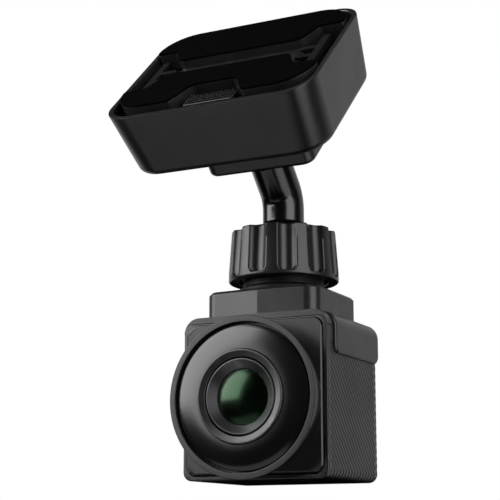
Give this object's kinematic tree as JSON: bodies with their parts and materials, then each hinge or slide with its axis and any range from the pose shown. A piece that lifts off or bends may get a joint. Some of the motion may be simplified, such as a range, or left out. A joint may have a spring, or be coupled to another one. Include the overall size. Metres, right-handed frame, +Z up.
{
  "type": "dash camera",
  "caption": "Cube dash camera with a large round lens bezel, hanging by a fluted clamp nut and ball joint from a sloped, quick-release adhesive windscreen bracket.",
  "frame": {"origin": "middle of the face of the rear (upper) adhesive pad, where the bracket sticks to the windscreen", "axes": "+Z up, the lens looks along -Y with the ball joint at rest, +X to the right seen from in front of the lens; the pad faces up and forward, 43.8 degrees from +Z towards -Y"},
  "size_m": [0.0604, 0.0643, 0.1269],
  "materials": {
    "satin_black_plastic": "satin moulded black plastic",
    "gloss_black_plastic": "polished black",
    "matt_black_plastic": "matt black",
    "adhesive_foam": "black acrylic foam tape",
    "grey_nylon": "low-friction nylon",
    "coated_glass": "lens glass with a green anti-reflection coating",
    "anodised_black": "black anodised aluminium",
    "steel": "zinc-plated steel",
    "circuit_board": "green solder mask",
    "screen_glass": "dark screen window",
    "dark_component": "moulded electronic parts",
    "cell_wrap": "blue shrink wrap",
    "ceramic": "antenna ceramic"
  },
  "bodies": {
    "windscreen_plate": {"mount_plate": "satin_black_plastic", "adhesive_pad_rear": "adhesive_foam", "adhesive_pad_front": "adhesive_foam"},
    "bracket": {"bracket_case": "satin_black_plastic", "bracket_deck": "matt_black_plastic", "bracket_board": "circuit_board", "gps_antenna": "ceramic", "inlet_collar": "matt_black_plastic", "power_socket": "steel", "neck_block": "satin_black_plastic", "stem": "gloss_black_plastic", "latch_spring": "steel", "deck_screw_1": "steel", "deck_screw_2": "steel", "deck_screw_3": "steel", "deck_screw_4": "steel", "neck_screw_1": "steel", "neck_screw_2": "steel", "neck_screw_3": "steel", "neck_screw_4": "steel"},
    "latch": {"release_latch": "satin_black_plastic"},
    "pan_ring": {"ball_ring": "grey_nylon"},
    "tilt_cup": {"ball_cup": "grey_nylon"},
    "camera": {"ball_socket": "matt_black_plastic", "body_shell": "satin_black_plastic", "front_panel": "satin_black_plastic", "rear_cover": "satin_black_plastic", "screen_window": "screen_glass", "display_panel": "dark_component", "top_cap": "satin_black_plastic", "bezel_ring": "satin_black_plastic", "lens_dish": "gloss_black_plastic", "trim_ring": "anodised_black", "lens_retainer": "anodised_black", "front_lens": "coated_glass", "lens_barrel": "anodised_black", "inner_lens_1": "coated_glass", "inner_lens_2": "coated_glass", "lens_holder": "matt_black_plastic", "sensor_board": "circuit_board", "image_sensor": "screen_glass", "main_board": "circuit_board", "backup_cell": "cell_wrap", "speaker": "matt_black_plastic", "microphone": "steel", "card_cage": "steel", "cover_screw_1": "steel", "cover_screw_2": "steel", "cover_screw_3": "steel", "cover_screw_4": "steel", "cap_screw_1": "steel", "cap_screw_2": "steel", "cap_screw_3": "steel", "cap_screw_4": "steel"},
    "nut": {"clamp_nut": "satin_black_plastic"},
    "card": {"memory_card": "dark_component"},
    "button_1": {"rear_button_1": "satin_black_plastic"},
    "button_2": {"rear_button_2": "satin_black_plastic"},
    "button_3": {"rear_button_3": "satin_black_plastic"},
    "button_4": {"rear_button_4": "satin_black_plastic"}
  },
  "joints": [
    {"name": "case_release", "type": "slide", "parent": "windscreen_plate", "child": "bracket", "axis": [0, 0.7218, 0.6921], "range_m": [0, 0.0018]},
    {"name": "latch_slide", "type": "slide", "parent": "bracket", "child": "latch", "axis": [0, -0.7218, -0.6921], "range_m": [0, 0.001], "stiffness_N_per_m": 500, "springref_m": -0.002},
    {"name": "ball_pan", "type": "hinge", "parent": "bracket", "child": "pan_ring", "pos_m": [0, 0.02112, -0.05813], "axis": [0, 0, 1], "continuous": true},
    {"name": "ball_tilt", "type": "hinge", "parent": "pan_ring", "child": "tilt_cup", "pos_m": [0, 0.02112, -0.05813], "axis": [1, 0, 0], "range_deg": [-18, 18]},
    {"name": "ball_roll", "type": "hinge", "parent": "tilt_cup", "child": "camera", "pos_m": [0, 0.02112, -0.05813], "axis": [0, 1, 0], "range_deg": [-15, 15]},
    {"name": "nut_turn", "type": "hinge", "parent": "camera", "child": "nut", "pos_m": [0, 0.02112, -0.05813], "axis": [0, 0, 1], "range_deg": [0, 360]},
    {"name": "card_slide", "type": "slide", "parent": "camera", "child": "card", "axis": [-1, 0, 0], "range_m": [0, 0.012]},
    {"name": "button_1_press", "type": "slide", "parent": "camera", "child": "button_1", "axis": [0, -1, 0], "range_m": [0, 0.0005], "stiffness_N_per_m": 1500, "springref_m": -0.001},
    {"name": "button_2_press", "type": "slide", "parent": "camera", "child": "button_2", "axis": [0, -1, 0], "range_m": [0, 0.0005], "stiffness_N_per_m": 1500, "springref_m": -0.001},
    {"name": "button_3_press", "type": "slide", "parent": "camera", "child": "button_3", "axis": [0, -1, 0], "range_m": [0, 0.0005], "stiffness_N_per_m": 1500, "springref_m": -0.001},
    {"name": "button_4_press", "type": "slide", "parent": "camera", "child": "button_4", "axis": [0, -1, 0], "range_m": [0, 0.0005], "stiffness_N_per_m": 1500, "springref_m": -0.001}
  ]
}
